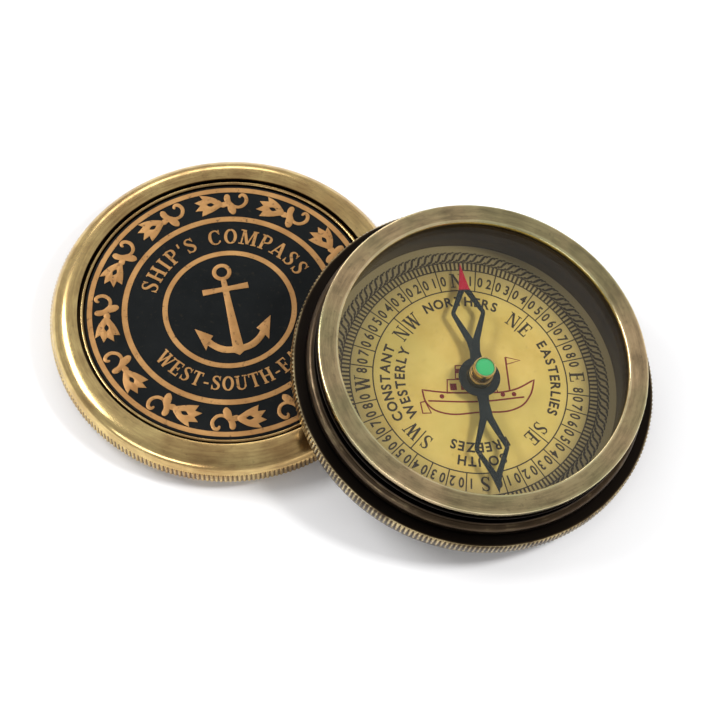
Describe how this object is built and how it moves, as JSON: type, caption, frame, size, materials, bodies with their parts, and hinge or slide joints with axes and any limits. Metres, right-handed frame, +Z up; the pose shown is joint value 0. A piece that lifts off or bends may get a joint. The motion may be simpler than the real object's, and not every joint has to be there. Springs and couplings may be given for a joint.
{
  "type": "pocket compass",
  "caption": "Round brass pocket compass lying open: a push-on lid with a black medallion, and a leaning case with a glass, a printed dial and a pierced needle that turns on a point.",
  "frame": {"origin": "on the table, under the middle of the whole as it lies open", "axes": "+X from the lid towards the case that leans on it; +Z up, away from the table"},
  "size_m": [0.1292, 0.076, 0.0278],
  "materials": {
    "lid_brass": "bright turned and polished brass with a light patina",
    "black_japan": "satin black, sunk between the raised lines",
    "copper_relief": "copper-coloured raised lines, lightly brushed",
    "antique_brass": "dark antique brass, turned, with brown and greenish patina",
    "clear_glass": "clear polished flat glass",
    "spring_wire": "drawn spring wire",
    "liner_brown": "dull dark brown lacquer",
    "dial_paper": "aged golden-yellow paper, dark brown print",
    "movement_brass": "plain turned brass",
    "point_steel": "ground and polished steel",
    "blued_steel": "dark blued sheet steel, painted red at the north tip",
    "agate": "polished agate",
    "green_enamel": "glossy green enamel"
  },
  "bodies": {
    "lid": {"lid_shell": "lid_brass", "lid_sleeve": "lid_brass", "lid_bead_ring": "lid_brass", "lid_medallion": "black_japan"},
    "case": {"base_pan": "antique_brass", "neck_ring": "antique_brass", "bezel": "antique_brass", "glass": "clear_glass", "glass_snap_ring": "spring_wire", "spacer_sleeve": "liner_brown", "dial_card": "dial_paper", "dial_plate": "movement_brass", "pivot_post": "movement_brass", "pivot_pin": "point_steel", "pivot_nut": "movement_brass"},
    "needle": {"needle_blade": "blued_steel", "needle_collar": "movement_brass", "needle_cap": "movement_brass", "cap_jewel": "agate", "cap_enamel": "green_enamel"}
  },
  "joints": [
    {"name": "case_lift", "type": "slide", "parent": "lid", "child": "case", "axis": [0.1776, 0, 0.9841], "range_m": [0, 0.05]},
    {"name": "needle_spin", "type": "hinge", "parent": "case", "child": "needle", "pos_m": [0.02872, 0, 0.01416], "axis": [0.1776, 0, 0.9841], "continuous": true}
  ]
}
